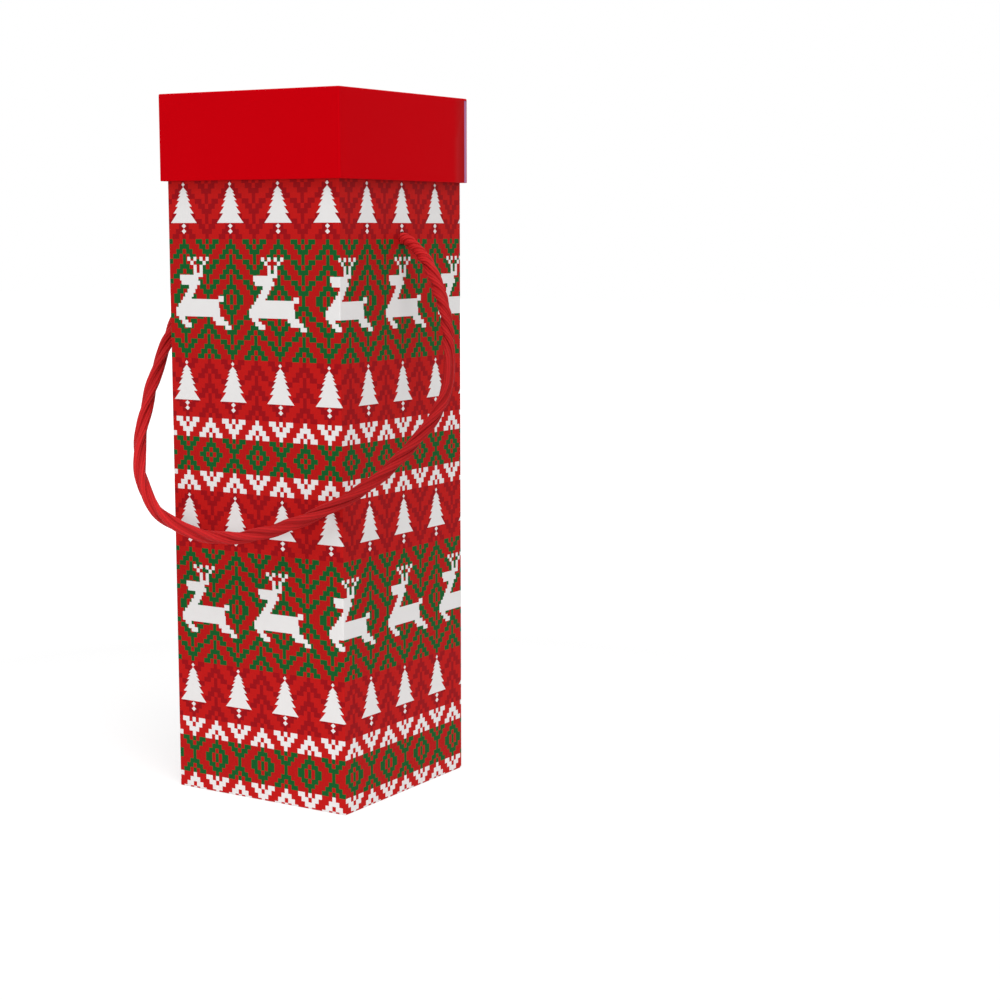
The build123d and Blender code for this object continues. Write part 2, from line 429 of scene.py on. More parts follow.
def knit_print(shader, across, height, inks):
    """Colour of the print. A lattice of stepped chevrons turns over from motif to motif and every
    few rows: a stitch has ink where its steps aside from the motif's middle and its rows from the
    chevron's tip add up to less than four, but not to one. The ink goes by the row, and the red
    between green ink is a tenth deeper."""
    fine_row = (ROW_ZERO - height) / STITCH_HEIGHT
    low = fine_row > LOW_ROW
    low_top = ROW_ZERO - LOW_ROW * STITCH_HEIGHT
    fine_row = fine_row + low * (LOW_ROW + (low_top - height) / LOW_STITCH_HEIGHT - fine_row)
    row = fine_row.floor()
    upper_row = (row + UPPER_START) % (PATTERN_ROWS - 1)
    upper_row = upper_row + (upper_row > SKIPPED_ROW - 0.5)
    lower_row = (row - SHIFTED_ROW) % PATTERN_ROWS
    pattern_row = lower_row + (row < SHIFTED_ROW) * (upper_row - lower_row)
    column = ((across - COLUMN_ZERO) / STITCH_WIDTH + 0.5).floor()
    motif = ((column + CHEVRON_WIDTH // 2) / CHEVRON_WIDTH).floor()
    aside = abs(column - CHEVRON_WIDTH * motif)
    step = pattern_row % CHEVRON_HEIGHT
    turned = abs(in_rows(pattern_row, TURNED_ROWS) - motif % 2)
    reach = aside + step + turned * (CHEVRON_HEIGHT - 1 - 2 * step)
    lattice = (reach < CHEVRON_HEIGHT - 0.5) * (abs(reach - 1) > 0.5)
    green = in_rows(pattern_row, GREEN_ROWS)
    ground = shader.shaded(rgba(inks.red), 1 - 0.10 * green)
    paint = shader.mix(lattice * in_rows(pattern_row, DARK_ROWS), ground, rgba(inks.dark_red))
    paint = shader.mix(lattice * green, paint, rgba(inks.green))
    figures = tree_shape(across, pattern_row + fine_row - row) | deer_shape(across, height)
    return shader.mix(lattice * in_rows(pattern_row, PALE_ROWS) | figures, paint, rgba(inks.white))


def printed_paper(inks):
    """Printed wrap: matt inks on a fine-fibred paper, read from the sheet's own map."""
    shader = Shader(bpy.data.materials.new("Printed paper"))
    across, height = shader.on_map("sheet")
    place = shader.joined(across, height)
    fibre = shader.grain(place, 0.35, 3.0)
    cloud = shader.grain(place, 9.0)
    paint = knit_print(shader, across, height, inks)
    paint = shader.shaded(paint, 1.0 + 0.030 * fibre + 0.012 * cloud)
    roughness = 0.46 + 0.05 * fibre + 0.03 * cloud
    return shader.surface(paint, roughness, fibre, 0.012 * MM, {"Specular IOR Level": 0.03})


def red_paper(inks):
    """Plain red paper of the lid, a little smoother than the print."""
    shader = Shader(bpy.data.materials.new("Red paper"))
    place = shader.place()
    fibre = shader.grain(place, 0.35, 3.0)
    cloud = shader.grain(place, 14.0)
    paint = shader.shaded(rgba(inks.lid), 1.0 + 0.020 * fibre + 0.012 * cloud)
    roughness = 0.42 + 0.05 * fibre + 0.03 * cloud
    gloss = {"Specular IOR Level": 0.015, "Specular Tint": (1.0, 0.16, 0.18, 1.0)}
    return shader.surface(paint, roughness, fibre, 0.010 * MM, gloss)


def plain_paper(name, paint, spread, fleck=0.0):
    """Uncoated paper or board: cloudy fibres, and dark flecks where fleck is above 0."""
    shader = Shader(bpy.data.materials.new(name))
    place = shader.place()
    fibre = shader.grain(place, 0.4, 4.0, 0.6)
    cloud = shader.grain(place, 6.0, 3.0)
    brightness = 1.0 + spread * fibre + 0.5 * spread * cloud
    if fleck:
        brightness = brightness - fleck * (shader.grain(place, 0.9, 5.0, 0.7) > 0.42)
    paint = shader.shaded(rgba(paint), brightness)
    return shader.surface(paint, 0.82 + 0.06 * fibre, fibre, 0.03 * MM, {"Specular IOR Level": 0.3})


def rope_yarn(inks, yarns):
    """Yarns run along each strand at a slant, and a yarn's ridge rises as the absolute cosine of
    its turn. Painted shade darkens the yarns towards the creases between the strands and in the
    creases between yarns, a painted highlight lightens each yarn's crown, and more painted shade
    darkens the stretch below the right hole."""
    shader = Shader(bpy.data.materials.new("Rope"))
    around, along = shader.on_map("yarn")
    turn = around * yarns + along * YARN_SLANT
    ridge = abs((turn * math.pi).cos()) * 2.0 - 1.0
    hairs = shader.grain(shader.joined(around * yarns * 1.4, along * 0.35 + turn * 0.2), 0.5, 3.0)
    patch = shader.grain(shader.joined(around * 3.0, along * 0.08), 0.9)
    outward = (around * (2 * math.pi)).cos()
    tone = ((turn + 0.5).floor() * 2.4).cos()
    # Painted shade and highlight: the outward term darkens each strand towards the creases between
    # strands, and the ridge term lightens each yarn's crown and darkens the creases between yarns; tone
    # and hairs are the yarns' own colour.
    brightness = 0.86 + 0.19 * outward + (0.09 + 0.26 * patch) * ridge + 0.06 * tone + 0.12 * hairs
    # Painted shade: the stretch below the right hole, from about 5 to 290 mm along the rope, is up to 27 %
    # darker.
    stretch_shade = shader.eased(along, 5, 70) * (1 - shader.eased(along, 150, 290))
    paint = shader.shaded(rgba(inks.rope), brightness * (1 - 0.27 * stretch_shade))
    gloss = {"Specular IOR Level": 0.15, "Specular Tint": (1.0, 0.35, 0.32, 1.0)}
    return shader.surface(paint, 0.60 + 0.10 * hairs, ridge * 0.5 + hairs * 0.25, 0.20 * MM, gloss)


# Meshes

# Steps round an edge's or a fold's arc, the distance from there to the next points, the least
# radius of an upright edge at a fold, and what places may differ by
ARC_STEPS = 4
EDGE_MARGIN = 0.3 * MM
LEAST_RADIUS = 0.1 * MM
CLOSE = 1e-7


def mesh_piece(name, points, faces, maps):
    """A smooth-shaded piece. A map holds a pair of numbers for each corner of each face."""
    mesh = bpy.data.meshes.new(name)
    mesh.from_pydata(points, [], faces)
    for title, pairs in maps.items():
        mesh.uv_layers.new(name=title, do_init=False).uv.foreach_set("vector", pairs.ravel())
    mesh.polygons.foreach_set("use_smooth", np.ones(len(faces), bool))
    mesh.validate()
    mesh.update()
    piece = bpy.data.objects.new(name, mesh)
    bpy.context.scene.collection.objects.link(piece)
    return piece


def grid_piece(name, points, maps=None, keep=None, lid_row=None):
    """A piece from a grid of points. Face (i, j) joins points (i, j), (i, j+1), (i+1, j+1) and
    (i+1, j), so it faces along the cross product of the steps along a row and from row to row.
    With a lid row, the last column joins the first, and one flat face closes that row."""
    rows, columns = points.shape[:2]
    closed = lid_row is not None
    i, j = np.meshgrid(np.arange(rows - 1), np.arange(columns - 1 + closed), indexing="ij")
    if keep is not None:
        i, j = i[keep], j[keep]
    row = i.reshape(-1, 1) + (0, 0, 1, 1)
    column = (j.reshape(-1, 1) + (0, 1, 1, 0)) % columns
    corners = (row * columns + column).ravel()
    rim = lid_row * columns + np.arange(columns) if closed else corners[:0]
    used, place = np.unique(np.concatenate([corners, rim]), return_inverse=True)
    faces = place[: corners.size].reshape(-1, 4).tolist()
    if closed:
        faces.append(place[corners.size:].tolist())
    maps = {title: pairs[row, column] for title, pairs in (maps or {}).items()}
    return mesh_piece(name, points.reshape(-1, 3)[used], faces, maps)


def dressed(piece, material, body, slot, *nodes):
    """Gives a piece its material and its body, and hides the CAD nodes that it stands for; the slot is not
    used.
    """
    piece.data.materials.append(material)
    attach(piece, body)
    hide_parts(*nodes)


def thickened(piece, thickness):
    """Paper lies with its outside on the mesh, and its thickness behind it."""
    solid = piece.modifiers.new("Paper", "SOLIDIFY")
    solid.thickness = thickness
    solid.offset = -1.0


def folded(corners, margin=EDGE_MARGIN):
    """Outline of a folded sheet. A right-angled corner (x, z, radius) becomes an arc: from the
    arc's middle, the sine of its turn along the run before it and the cosine along the run after
    it. A point with no radius stays as it is."""
    places = np.array([corner[:2] for corner in corners], float)
    outline = [places[:1]]
    for before, here, after, (_, _, radius) in zip(places, places[1:], places[2:], corners[1:]):
        if not radius:
            outline.append(here[None])
            continue
        run_in = (here - before) / np.linalg.norm(here - before)
        run_out = (after - here) / np.linalg.norm(after - here)
        turn = np.linspace(0, math.pi / 2, ARC_STEPS + 1)[:, None]
        middle = here + radius * (run_out - run_in)
        arc = middle + radius * (np.sin(turn) * run_in - np.cos(turn) * run_out)
        outline += [arc[:1] - margin * run_in, arc, arc[-1:] + margin * run_out]
    outline.append(places[-1:])
    return np.concatenate(outline)


def side_lines(half, radius, inner):
    """Columns over one side, as distances from its middle: the given ones on the flat, and more
    on the rounded edges at both ends. The next side starts with the last one, so it is left out."""
    edge = half - radius + radius * np.linspace(0, 1, ARC_STEPS + 1)
    right = np.concatenate([inner, [half - radius - EDGE_MARGIN], edge])
    return np.concatenate([-right[::-1], right[right > 0]])[:-1]


def round_square(across, side, reach, half, edge_radius):
    """Places round a square with rounded corners. across is the way round from the front left
    corner on a sharp square of that side. The side's number gives the direction of its run, which
    turns a quarter each time; within an edge's radius of an end, the place goes round an arc by up
    to an eighth of a turn. reach is how far out the sheet lies, and half is its outermost reach:
    further in, the arc is that much smaller."""
    radius = np.maximum(edge_radius - (half - reach), LEAST_RADIUS)
    number = np.floor(across / side)
    middle = across - side * (number + 0.5)
    flat = side / 2 - edge_radius
    turn = math.pi / 4 * np.clip((abs(middle) - flat) / edge_radius, 0, 1)
    core = reach - radius
    run = np.clip(middle, -flat, flat) * core / flat + np.sign(middle) * radius * np.sin(turn)
    out = core + radius * np.cos(turn)
    heading = number * math.pi / 2
    x = run * np.cos(heading) + out * np.sin(heading)
    y = run * np.sin(heading) - out * np.cos(heading)
    return x, y


def eased(value, low, high):
    """0 below low, 1 above high, and a smooth S between them."""
    share = np.clip((value - low) / (high - low), 0, 1)
    return share * share * (3 - 2 * share)


# The wrap's grid: heights of its rows below and above the rope's holes, distances of its rows from
# the rim, distances of its columns from a wall's middle, and its spacing at a hole
LOW_LEVELS = np.array([1.5, 3, 30, 60, 100, 140, 180, 220, 250, 260]) * MM
HIGH_LEVELS = np.array([280, 305]) * MM
RIM_LEVELS = np.array([3, 1.5]) * MM
FLAT_LINES = np.array([12, 20, 28, 33, 34.5, 36, 37.5, 38, 41, 45]) * MM
HOLE_ROW, HOLE_COLUMN = 0.5 * MM, 0.25 * MM
# Half sides of the square of the grid that a hole changes, and of the square that it leaves out
HOLE_BLOCK, HOLE_CORE = 6 * MM, 3 * MM
# The wrap's end rises over its start between these distances before the lap
LAP_RISE = 4 * MM, 0.5 * MM
# The rise fades out between these distances from the foot and from the rim
LAP_ENDS = 1.4 * MM, 3 * MM
# How far the wrap's end stops short of the back left edge
SEAM_GAP = 0.1 * MM


def holes_drawn(across, height, run, wall, sizes):
    """Draws squares of the grid on the two side walls out to circles, in the arrays themselves: a
    point goes along its own direction from the hole's middle, so that the inner square becomes
    the hole's circle and the outer one stays. Returns which points are left out."""
    number = np.floor(across / (2 * BASE_HALF))
    x = across - 2 * BASE_HALF * (number + 0.5)
    z = height - sizes.hole_height
    square = np.maximum(abs(x), abs(z))
    inside = wall & (number % 2 == 1) & (square < HOLE_BLOCK - CLOSE)
    ring = inside & (square > HOLE_CORE - CLOSE)
    away = np.hypot(x, z)[ring]
    outer = HOLE_BLOCK * away / square[ring]
    share = (square[ring] - HOLE_CORE) / (HOLE_BLOCK - HOLE_CORE)
    drawn = sizes.hole_radius + (outer - sizes.hole_radius) * share
    across[ring] += x[ring] * (drawn / away - 1)
    height[ring] += z[ring] * (drawn / away - 1)
    run[ring] += z[ring] * (drawn / away - 1)
    return inside & ~ring


def wrap_piece(sizes):
    """The printed wrap: a folded outline carried round the box, whose end laps over its start at
    the back left edge, with the rope's two holes. Its "sheet" map is the flat sheet, with the way
    round from the front left edge and the height on the wall."""
    half, side = BASE_HALF, 2 * BASE_HALF
    flap = half - sizes.base_flap
    hole_rows = np.arange(-HOLE_BLOCK, HOLE_BLOCK + CLOSE, HOLE_ROW)
    levels = np.concatenate([
        LOW_LEVELS, sizes.hole_height + hole_rows, HIGH_LEVELS, BASE_RIM - RIM_LEVELS
    ])
    outline = folded([
        (half - sizes.under_turn_in, BASE_FOOT, 0), (half, BASE_FOOT, sizes.fold_radius),
        *((half, level, 0) for level in levels),
        (half, BASE_RIM, sizes.fold_radius), (flap, BASE_RIM, sizes.fold_radius),
        (flap, BASE_RIM - sizes.turn_in, 0),
    ])
    run = np.concatenate([[0], np.cumsum(np.linalg.norm(np.diff(outline, axis=0), axis=1))])
    on_wall = np.flatnonzero(np.isclose(outline[:, 0], half))[1]
    run += outline[on_wall, 1] - run[on_wall]

    inner = np.concatenate([np.arange(0, HOLE_BLOCK + CLOSE, HOLE_COLUMN), FLAT_LINES])
    lines = side_lines(half, sizes.edge_radius, inner)
    across = np.concatenate([side * (number + 0.5) + lines for number in range(-2, 3)])
    start, end = -side - sizes.lap, 3 * side - SEAM_GAP
    across = np.append(across[(across > start - CLOSE) & (across < end)], end)
    across, reach = np.meshgrid(across, outline[:, 0])
    height = np.broadcast_to(outline[:, 1:], across.shape).copy()
    run = np.broadcast_to(run[:, None], across.shape).copy()
    wall = np.isclose(reach, half)
    in_hole = holes_drawn(across, height, run, wall, sizes)

    lap_edge = 3 * side - sizes.lap
    lift = sizes.thickness * eased(across, lap_edge - LAP_RISE[0], lap_edge - LAP_RISE[1])
    lift = lift * eased(height, *LAP_ENDS) * eased(BASE_RIM - height, *LAP_ENDS)
    x, y = round_square(across, side, reach + wall * lift, half + wall * lift, sizes.edge_radius)

    height_between = (height[:-1, :-1] + height[1:, 1:]) / 2
    on_wall = wall[:-1, :-1] & wall[1:, 1:]
    on_wall &= (height_between > LAP_ENDS[1]) & (height_between < BASE_RIM - LAP_ENDS[1])
    under_lap = (across[:-1, :-1] + across[1:, 1:]) / 2 < -side
    at_hole = in_hole[:-1, :-1] | in_hole[1:, 1:] | in_hole[:-1, 1:] | in_hole[1:, :-1]
    keep = ~at_hole & (on_wall | ~under_lap)
    sheet = np.stack([across, run], -1)
    low, high = sheet.min((0, 1)), sheet.max((0, 1))
    bake = (sheet - low) / (high - low) * 0.998 + 0.001
    points = np.stack([x, y, height], -1)
    return grid_piece("wrap_printed", points, {"sheet": sheet, "OFBake": bake}, keep)


# The cover's grid: distances of its columns from a wall's middle, how far in it goes on the lid's
# top before one flat face closes it, and the margin beside its folds
COVER_LINES = np.array([0, 20, 40]) * MM
COVER_BORDER = 12 * MM
COVER_MARGIN = 0.2 * MM


def cover_piece(sizes):
    """The lid's cover: a folded outline carried round the lid and closed by a flat face on top.
    One strip of cells at an upright edge is left out, where the paper stops short."""
    half, side = LID_HALF, 2 * LID_HALF
    flap = half - sizes.lid_flap
    bare = half - sizes.bare_width
    bare_top = LID_TOP - sizes.bare_top
    outline = folded([
        (flap, LID_INNER_TOP, 0), (flap, LID_EDGE, sizes.fold_radius),
        (half, LID_EDGE, sizes.fold_radius), (half, (LID_EDGE + LID_TOP) / 2, 0), (half, bare_top, 0),
        (half, LID_TOP, sizes.top_radius), (half - COVER_BORDER, LID_TOP, 0),
    ], COVER_MARGIN)
    lines = side_lines(half, sizes.edge_radius, np.append(COVER_LINES, bare))
    across = np.concatenate([side * (number + 0.5) + lines for number in range(4)])
    strip = (across > side + half + bare - CLOSE) & (across < 2 * side - CLOSE)
    outside = outline[:-1, 0] > half - sizes.edge_radius - EDGE_MARGIN
    rows = outside & (outline[1:, 1] < bare_top + CLOSE)
    keep = ~(rows[:, None] & strip[None, :])
    across, reach = np.meshgrid(across, outline[:, 0])
    x, y = round_square(across, side, reach, half, sizes.edge_radius)
    height = np.broadcast_to(outline[:, 1:], across.shape)
    points = np.stack([x, y, height], -1)
    return grid_piece("lid_cover", points, keep=keep, lid_row=len(outline) - 1)


# Rope

# Route of the rope: distance to the right of the middle, and down the leaning plane, in metres
ROPE_ROUTE = np.array([
    (43.5, 0), (48.5, 0), (53.4, 1), (57.8, 4.5), (62.9, 8.2), (69.5, 14.4), (77, 25), (87.1, 41.9),
    (97.9, 78.4), (81.4, 106.3), (62.2, 126.4), (23.3, 147.3), (-12.8, 155.3), (-52.6, 145.9),
    (-73.3, 121), (-77.9, 86.2), (-75.3, 54.4), (-71, 34), (-65, 17), (-61, 8.4), (-57.6, 4),
    (-53.4, 0.9), (-48.5, 0), (-43.5, 0),
]) * MM

# How the strands turn: distance along the rope in millimetres, and turns in a metre
ROPE_LAY = np.array([
    (0, -91), (9, -91), (14, -80), (20, -74), (25, -62), (31, -15), (40, -34), (50, -31), (62, -38),
    (72, -42), (80, -11), (86, 0), (93, -4), (104, 30), (118, 16), (134, 26), (150, 16), (170, 13),
    (192, 19), (232, 19.4), (258, 8.6), (287, 16.7), (312, 15), (338, 16), (362, 15), (385, 25),
    (446, 25),
])
# How tight the rope is: distance along it in millimetres, share of its full diameter, and how
# far its yarns stand out, as a share of a strand's radius
ROPE_GIRTH = np.array([
    (0, 0.82, 0.26), (14, 0.84, 0.25), (26, 0.91, 0.20), (36, 0.97, 0.16), (45, 0.99, 0.16),
    (55, 0.88, 0.14), (80, 0.87, 0.13), (130, 0.9, 0.12), (190, 0.95, 0.09), (250, 1.02, 0.07),
    (420, 1.02, 0.08), (432, 0.9, 0.12), (446, 0.82, 0.16),
])

# Route of a knot's turns, round the rope: millimetres in from the wall's side of the knot,
# millimetres from the rope's middle, and eighths of a turn
KNOT_ROUTE = np.array([
    (6.0, 0.8, -3.2), (7.6, 1.6, -2.6), (8.6, 3.2, -1.9), (8.7, 4.9, -1), (8.5, 5.4, 0), (8.1, 5.4, 1),
    (7.6, 5.4, 2), (7.1, 5.4, 3), (6.6, 5.4, 4), (6.1, 5.4, 5), (5.6, 5.4, 6), (5.1, 5.4, 7),
    (4.6, 5.4, 8), (4.1, 5.4, 9), (3.5, 5.4, 10), (3.0, 5.4, 11), (2.6, 5.5, 12), (2.5, 6.4, 12.9),
    (2.6, 8.6, 13.5),
])

# Turns of a yarn round its strand in a millimetre
YARN_SLANT = 0.02
# How much thicker the strands are than ones that only touch, because they are pressed together
PRESSED = 1.16
# Sines by which the ring of the strands' middles and the strands' radius wander along the rope:
# share, distance in which a sine goes on by one radian, and radians from strand to strand
RING_WANDER = ((0.05, 7 * MM, 2.1), (0.04, 2.9 * MM, 4.4))
RADIUS_WANDER = ((0.03, 4.3 * MM, 1.3),)
# About the mean of an absolute cosine, taken off so that the relief leaves a strand as thick
RIDGE_MEAN = 0.65
# Steps of the rope's mesh: fine up to the distance where its twist gets loose, then coarser
TIGHT_RUN, FINE_STEP, COARSE_STEP = 70 * MM, 0.35 * MM, 0.85 * MM
KNOT_STEP, KNOT_RELIEF = 0.45 * MM, 0.12
ROPE_SIDES, KNOT_SIDES = 36, 18
# Strips that each strand is laid out in for baking
BAKE_STRIPS = 4


def centreline(name, points, step_at):
    """Distances along the NURBS spline that has these points as its control points, and the
    place at each. step_at gives the step from one distance to the next."""
    curve = bpy.data.curves.new(name, "CURVE")
    curve.dimensions = "3D"
    spline = curve.splines.new("NURBS")
    spline.points.add(len(points) - 1)
    spline.points.foreach_set("co", np.column_stack([points, np.ones(len(points))]).ravel())
    spline.order_u = 3
    spline.use_endpoint_u = True
    spline.resolution_u = 64
    holder = bpy.data.objects.new(name, curve)
    mesh = bpy.data.meshes.new_from_object(holder)
    line = np.empty(len(mesh.vertices) * 3)
    mesh.vertices.foreach_get("co", line)
    line = line.reshape(-1, 3)
    bpy.data.objects.remove(holder)
    bpy.data.meshes.remove(mesh)
    bpy.data.curves.remove(curve)
    run = np.concatenate([[0], np.cumsum(np.linalg.norm(np.diff(line, axis=0), axis=1))])
    fine = np.linspace(0, run[-1], 4000)
    steps = np.concatenate([[0], np.cumsum(np.diff(fine) / step_at(fine[1:]))])
    count = math.floor(steps[-1])
    at = np.interp(np.arange(count + 1) * steps[-1] / count, steps, fine)
    return at, np.stack([np.interp(at, run, axis) for axis in line.T], 1)


def unit(vectors):
    return vectors / np.linalg.norm(vectors, axis=-1, keepdims=True)


def square_to(vectors, direction):
    """The unit part of vectors that is square to a direction."""
    return unit(vectors - (vectors * direction).sum(-1, keepdims=True) * direction)


def wandering(at, strand, sines):
    """A factor near 1 that wanders along the rope: 1 plus each sine's share times the sine."""
    return 1 + sum(share * np.sin(at / run + shift * strand) for share, run, shift in sines)


def strand_points(at, line, aside, turns, sizes, diameter, relief, sides):
    """Points of strands twisted round a line, by strand, step and side. Each strand's middle
    stands off the line by its ring's wandering radius, at an angle of the turns so far plus its
    own share of a turn. Round its middle, a point stands off by the strand's wandering radius,
    times one plus the relief times a yarn's ridge, the absolute cosine of half the yarns' turn."""
    count = sizes.strands
    thick = PRESSED * diameter / 2 / (1 + 1 / math.sin(math.pi / count))
    ring = diameter / 2 - thick
    forward = unit(np.gradient(line, at, axis=0))
    up = square_to(aside, forward)
    across = np.cross(forward, up)
    strand = np.arange(count)[:, None]
    phase = 2 * math.pi * (turns + strand / count)
    away = np.cos(phase)[..., None] * up + np.sin(phase)[..., None] * across
    middle = line + (ring * wandering(at, strand, RING_WANDER))[..., None] * away
    ahead = unit(np.gradient(middle, at, axis=1))
    out = square_to(away, ahead)
    beside = np.cross(ahead, out)
    turn = np.arange(sides) / sides * 2 * math.pi
    slant = at[:, None] / MM * YARN_SLANT * 2 * math.pi
    ridge = abs(np.cos((sizes.yarns * turn + slant) / 2)) - RIDGE_MEAN
    radius = (thick * wandering(at, strand, RADIUS_WANDER))[..., None]
    radius = radius * (1 + np.broadcast_to(relief, at.shape)[:, None] * ridge)
    return middle[:, :, None] + radius[..., None] * (
        np.cos(turn)[:, None] * out[:, :, None] + np.sin(turn)[:, None] * beside[:, :, None]
    )


def rope_piece(name, points, at):
    """One piece with all the strands of a rope, closed at both ends. On its "yarn" map each strand
    is one millimetre wide and as long as the rope. For baking it is cut into strips side by side."""
    count, rows, sides = points.shape[:3]
    grid = np.meshgrid(np.arange(rows - 1), np.arange(sides), indexing="ij")
    i, j = (index.reshape(-1, 1) for index in grid)
    row, column = i + (0, 0, 1, 1), j + (0, 1, 1, 0)
    strand = np.arange(count)[:, None, None]
    walls = (strand * rows + row) * sides + column % sides
    ring = np.arange(sides)
    ends = strand * rows * sides + np.array([ring[::-1], (rows - 1) * sides + ring])
    faces = []
    for number in range(count):
        faces += walls[number].tolist() + ends[number].tolist()

    strip = np.minimum(i * BAKE_STRIPS // (rows - 1), BAKE_STRIPS - 1)
    wide = BAKE_STRIPS * count
    yarn = (strand + column / sides) * MM, at[row]
    bake = (
        (strip * count + strand + 0.04 + 0.92 * column / sides) / wide,
        0.004 + 0.992 * (row / (rows - 1) * BAKE_STRIPS - strip),
    )
    middle = np.broadcast_to(strand + 0.5, (count, 2 * sides, 1))
    yarn_ends, bake_ends = middle * (MM, 0), middle * (1 / wide, 0) + (0, 0.001)
    maps = {}
    for title, pair, pair_ends in (("yarn", yarn, yarn_ends), ("OFBake", bake, bake_ends)):
        pairs = np.stack(np.broadcast_arrays(*pair), -1).reshape(count, -1, 2)
        maps[title] = np.concatenate([pairs, pair_ends], 1)
    return mesh_piece(name, points.reshape(-1, 3), faces, maps)


def turns_along(at, lay):
    """Turns made so far: the sum of the turns in each step."""
    rate = np.interp(at, lay[:, 0], lay[:, 1])
    return np.concatenate([[0], np.cumsum((rate[1:] + rate[:-1]) / 2 * np.diff(at))])


# Operators

def sky_seen(shader):
    """1 where the camera, a reflection or a clear surface looks at the background."""
    path = shader.node("LightPath").outputs
    seen = Value(shader, path["Is Camera Ray"]) | Value(shader, path["Is Glossy Ray"])
    return seen | Value(shader, path["Is Transmission Ray"])


def floor_finish(studio):
    """Grey floor that catches shadows, painted paler near the box as a pool of light that also
    bounces more light onto its foot. For the camera it also glows white, more with the square of the
    distance."""
    shader = Shader(bpy.data.materials.new("Floor"))
    cloud = shader.grain(shader.place(), 300.0)
    x, y, _ = shader.split(shader.place())
    away = x * x + y * y
    # Painted pool of light: the floor is up to half again as pale near the box.
    near = 1 - (away / FLOOR_PALE ** 2 & 1.0)
    paint = shader.shaded(rgba([studio.floor_grey] * 3), 1.0 + 0.5 * near + 0.01 * cloud)
    matt = shader.node("BsdfDiffuse", inputs={"Color": paint})
    glow = shader.node("Emission", inputs={"Color": (1, 1, 1, 1), "Strength": studio.floor_glow})
    far = away / FLOOR_WHITE ** 2 & 1.0
    seen = sky_seen(shader) * (studio.floor + (1.0 - studio.floor) * far)
    both = shader.node("MixShader", inputs={0: seen, 1: matt.outputs[0], 2: glow.outputs[0]})
    shader.node("OutputMaterial", inputs={"Surface": both.outputs[0]})
    return shader.owner


def white_sky(studio):
    """White background for the camera, which lights the box less brightly than it looks."""
    sky = Shader(bpy.data.worlds.new("Studio"))
    strength = sky_seen(sky) * (1.0 - studio.sky) + studio.sky
    backdrop = sky.node("Background", inputs={"Color": (1, 1, 1, 1), "Strength": strength})
    sky.node("OutputWorld", inputs={"Surface": backdrop.outputs[0]})
    return sky.owner


def studio_lamp(name, power):
    """A round lamp at its place, turned to its aim."""
    size, place, aim = LAMPS[name]
    lamp = bpy.data.lights.new(name, "AREA")
    lamp.energy, lamp.shape, lamp.size = power, "DISK", size
    light = bpy.data.objects.new(name, lamp)
    light.location = place
    light.rotation_euler = (Vector(aim) - Vector(place)).to_track_quat("-Z", "Y").to_euler()
    return light


class WINEBOX_OT_stage(bpy.types.Operator):
    """Camera at the photograph's angle, a white floor and soft studio light"""

    bl_idname = "wine_box.stage"
    bl_label = "Stage"

    def execute(self, context):
        scene, studio = context.scene, context.scene.wine_box_studio
        camera = bpy.data.cameras.new("Camera")
        camera.lens, camera.sensor_width = studio.lens, 36.0
        camera.clip_start = 0.01
        holder = bpy.data.objects.new("Camera", camera)
        holder.location = studio.camera_place
        holder.rotation_euler = (studio.camera_tilt, 0.0, studio.camera_turn)
        scene.collection.objects.link(holder)
        scene.camera = holder
        scene.view_settings.view_transform = "Standard"
        scene.collection.objects.link(studio_lamp("Key", studio.key))
        scene.collection.objects.link(studio_lamp("Fill", studio.fill))
        scene.world = white_sky(studio)
        corners = FLOOR_HALF * np.array([[(-1, -1, 0), (1, -1, 0)], [(-1, 1, 0), (1, 1, 0)]], float)
        floor = grid_piece("floor", corners)
        floor.data.materials.append(floor_finish(studio))
        return {"FINISHED"}


class WINEBOX_OT_rope(bpy.types.Operator):
    """Twisted rope handle with a knot inside each side wall"""

    bl_idname = "wine_box.rope"
    bl_label = "Rope handle"

    def execute(self, context):
        sizes, inks = context.scene.wine_box_rope, context.scene.wine_box_finishes
        finish = rope_yarn(inks, sizes.yarns)
        right, down = ROPE_ROUTE.T
        lean = sizes.lean
        route = np.stack([right, -down * math.sin(lean), sizes.height - down * math.cos(lean)], 1)
        at, line = centreline(
            "route", route, lambda run: np.where(run < TIGHT_RUN, FINE_STEP, COARSE_STEP)
        )
        aside = np.array([0.0, math.cos(lean), -math.sin(lean)])
        turns = turns_along(at, ROPE_LAY * (MM, 1.0))
        girth, relief = (np.interp(at, ROPE_GIRTH[:, 0] * MM, column) for column in ROPE_GIRTH.T[1:])
        diameter = sizes.diameter * girth
        points = strand_points(at, line, aside, turns, sizes, diameter, relief, ROPE_SIDES)
        loop = rope_piece("rope_handle", points, at)
        dressed(loop, finish, "handle", "red_rope", "rope_loop")
        knots = [self.knot(sizes, finish, side, sign) for side, sign in (("left", -1), ("right", 1))]
        return {"FINISHED"}

    def knot(self, sizes, finish, side, sign):
        """A knot's turns wind round the rope's end, which points along X, inside one wall."""
        inward, away, eighths = KNOT_ROUTE.T * np.array([[MM], [MM], [1.0]])
        turn = eighths * math.pi / 4
        route = np.stack([
            sign * (KNOT_OUTER - inward), sign * away * np.sin(turn), sizes.height + away * np.cos(turn)
        ], 1)
        at, line = centreline("knot", route, lambda run: np.full(run.shape, KNOT_STEP))
        outward = line * (0, 1, 1) - (0, 0, sizes.height)
        diameter = np.full(at.shape, sizes.knot_diameter)
        points = strand_points(
            at, line, outward, -at / sizes.knot_lay, sizes, diameter, KNOT_RELIEF, KNOT_SIDES
        )
        knot = rope_piece(f"rope_stop_{side}", points, at)
        dressed(knot, finish, "handle", "red_rope", f"rope_knot_{side}")
        return knot


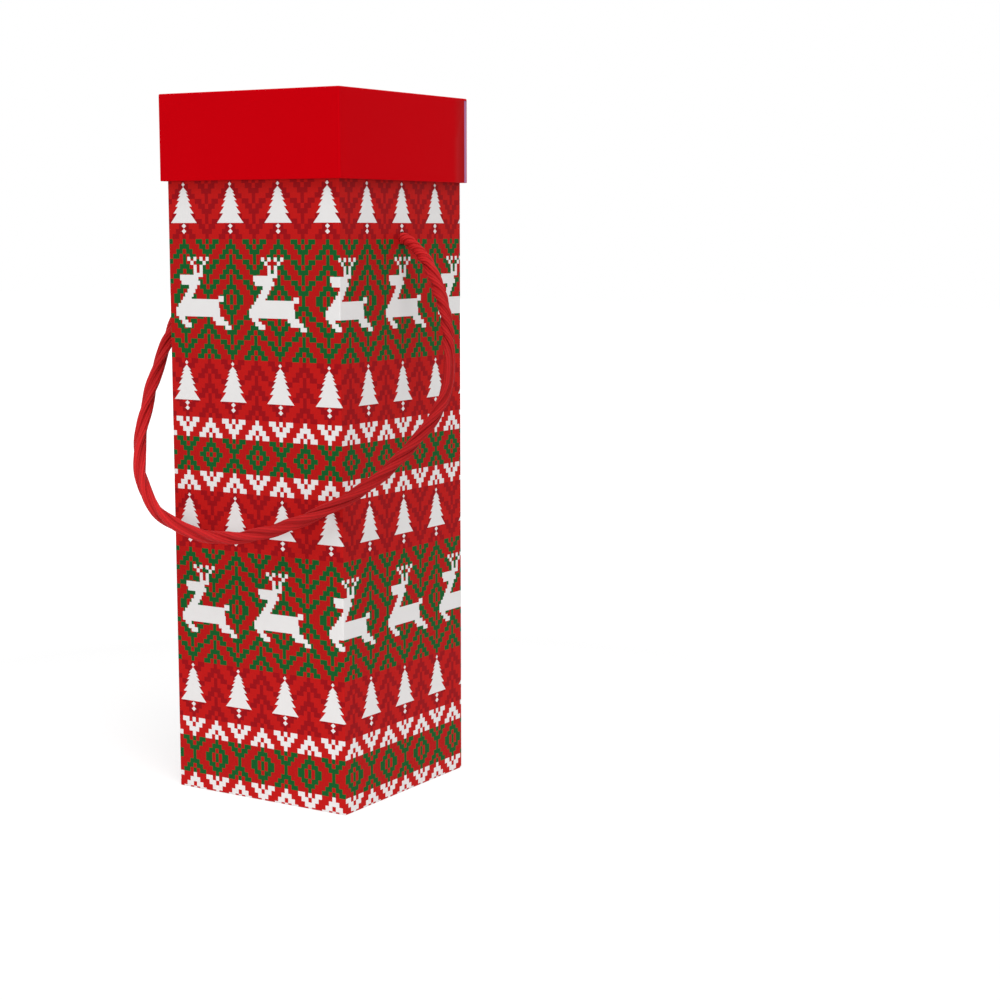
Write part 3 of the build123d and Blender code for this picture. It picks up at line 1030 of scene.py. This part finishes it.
class WINEBOX_OT_wrap(bpy.types.Operator):
    """Printed wrap round the base, turned in at the rim and under the floor"""

    bl_idname = "wine_box.wrap"
    bl_label = "Printed wrap"

    def execute(self, context):
        sizes = context.scene.wine_box_papers
        wrap = wrap_piece(sizes)
        thickened(wrap, sizes.thickness)
        dressed(wrap, printed_paper(context.scene.wine_box_finishes), "base", "printed_paper", "base_wrap")
        return {"FINISHED"}


class WINEBOX_OT_cover(bpy.types.Operator):
    """Plain red cover of the lid"""

    bl_idname = "wine_box.cover"
    bl_label = "Lid cover"

    def execute(self, context):
        sizes = context.scene.wine_box_papers
        cover = cover_piece(sizes)
        thickened(cover, sizes.thickness)
        dressed(cover, red_paper(context.scene.wine_box_finishes), "lid", "red_paper", "lid_wrap")
        return {"FINISHED"}


class WINEBOX_OT_boards(bpy.types.Operator):
    """Finishes of the boards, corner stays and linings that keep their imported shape"""

    bl_idname = "wine_box.boards"
    bl_label = "Boards and linings"

    def execute(self, context):
        inks = context.scene.wine_box_finishes
        finishes = {
            "grey_board": plain_paper("Grey board", inks.board, 0.10, fleck=0.35),
            "gummed_paper": plain_paper("Gummed paper", inks.stay, 0.05),
            "lining_paper": plain_paper("Lining paper", inks.lining, 0.025),
        }
        for part in frame["record"]["subparts"]:
            if part["material_slot"] in finishes:
                node = frame["nodes"][part["node"]]
                for slot in node.material_slots:
                    slot.material = finishes[part["material_slot"]]
        return {"FINISHED"}


class WINEBOX_PT_panel(bpy.types.Panel):
    """Lists the box's operators in the 3D view's sidebar"""

    bl_idname = "WINEBOX_PT_panel"
    bl_label = "Wine box"
    bl_space_type = "VIEW_3D"
    bl_region_type = "UI"
    bl_category = "Wine box"

    def draw(self, context):
        for operator in OPERATORS:
            self.layout.operator(operator.bl_idname)


GROUPS = {
    "wine_box_papers": PaperSizes,
    "wine_box_rope": RopeSizes,
    "wine_box_finishes": Finishes,
    "wine_box_studio": Studio,
}
OPERATORS = (
    WINEBOX_OT_stage, WINEBOX_OT_rope, WINEBOX_OT_wrap, WINEBOX_OT_cover, WINEBOX_OT_boards,
)


def register():
    for group in (*GROUPS.values(), *OPERATORS, WINEBOX_PT_panel):
        bpy.utils.register_class(group)
    for name, group in GROUPS.items():
        setattr(bpy.types.Scene, name, bpy.props.PointerProperty(type=group))


def unregister():
    for name in GROUPS:
        delattr(bpy.types.Scene, name)
    for group in (WINEBOX_PT_panel, *OPERATORS, *GROUPS.values()):
        bpy.utils.unregister_class(group)


def main():
    register()
    for operator in OPERATORS:
        getattr(bpy.ops.wine_box, operator.bl_idname.split(".")[1])()


if __name__ == "__main__":
    main()
